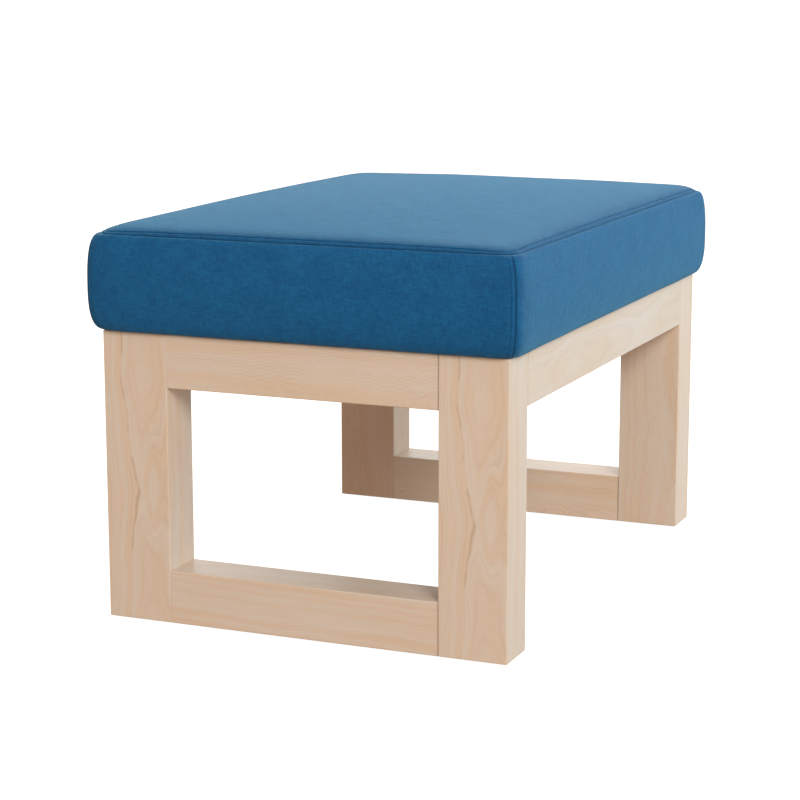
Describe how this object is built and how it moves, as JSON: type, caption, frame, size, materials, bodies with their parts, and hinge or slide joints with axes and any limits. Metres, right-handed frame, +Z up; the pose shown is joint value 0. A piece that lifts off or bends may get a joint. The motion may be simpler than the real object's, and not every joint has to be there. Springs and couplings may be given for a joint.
{
  "type": "glider ottoman",
  "caption": "Low oblong footstool with a boxed, upholstered seat on a solid wood frame of closed end frames tied by side rails.",
  "frame": {"origin": "on the floor, under the centre of the stool", "axes": "+Z up, +Y along the long side towards the rear end frame, +X across the end frames towards the right side rail"},
  "size_m": [0.492, 0.7, 0.4502],
  "materials": {
    "maple": "satin",
    "maple_inside": "matte",
    "plywood": "matte",
    "cover_fabric": "matte",
    "foam": "matte",
    "fibre": "matte",
    "dust_cloth": "matte",
    "zinc_steel": "satin",
    "nylon": "matte"
  },
  "bodies": {
    "root": {"leg_front_left": "maple", "corner_block_front_left": "maple_inside", "glide_front_left": "nylon", "block_screw_side_rail_front_left": "zinc_steel", "block_screw_leg_front_left": "zinc_steel", "seat_bolt_front_left": "zinc_steel", "washer_front_left": "zinc_steel", "tee_nut_front_left": "zinc_steel", "leg_front_right": "maple", "corner_block_front_right": "maple_inside", "glide_front_right": "nylon", "block_screw_side_rail_front_right": "zinc_steel", "block_screw_leg_front_right": "zinc_steel", "seat_bolt_front_right": "zinc_steel", "washer_front_right": "zinc_steel", "tee_nut_front_right": "zinc_steel", "leg_rear_left": "maple", "corner_block_rear_left": "maple_inside", "glide_rear_left": "nylon", "block_screw_side_rail_rear_left": "zinc_steel", "block_screw_leg_rear_left": "zinc_steel", "seat_bolt_rear_left": "zinc_steel", "washer_rear_left": "zinc_steel", "tee_nut_rear_left": "zinc_steel", "leg_rear_right": "maple", "corner_block_rear_right": "maple_inside", "glide_rear_right": "nylon", "block_screw_side_rail_rear_right": "zinc_steel", "block_screw_leg_rear_right": "zinc_steel", "seat_bolt_rear_right": "zinc_steel", "washer_rear_right": "zinc_steel", "tee_nut_rear_right": "zinc_steel", "end_rail_top_front": "maple", "end_rail_bottom_front": "maple", "end_rail_top_rear": "maple", "end_rail_bottom_rear": "maple", "side_rail_left": "maple", "side_rail_right": "maple", "seat_board": "plywood", "dust_cover": "dust_cloth", "seat_foam": "foam", "fibre_wrap": "fibre", "cover_top_panel": "cover_fabric", "cover_boxing_front": "cover_fabric", "cover_boxing_right": "cover_fabric", "cover_boxing_rear": "cover_fabric", "cover_boxing_left": "cover_fabric"}
  },
  "joints": []
}
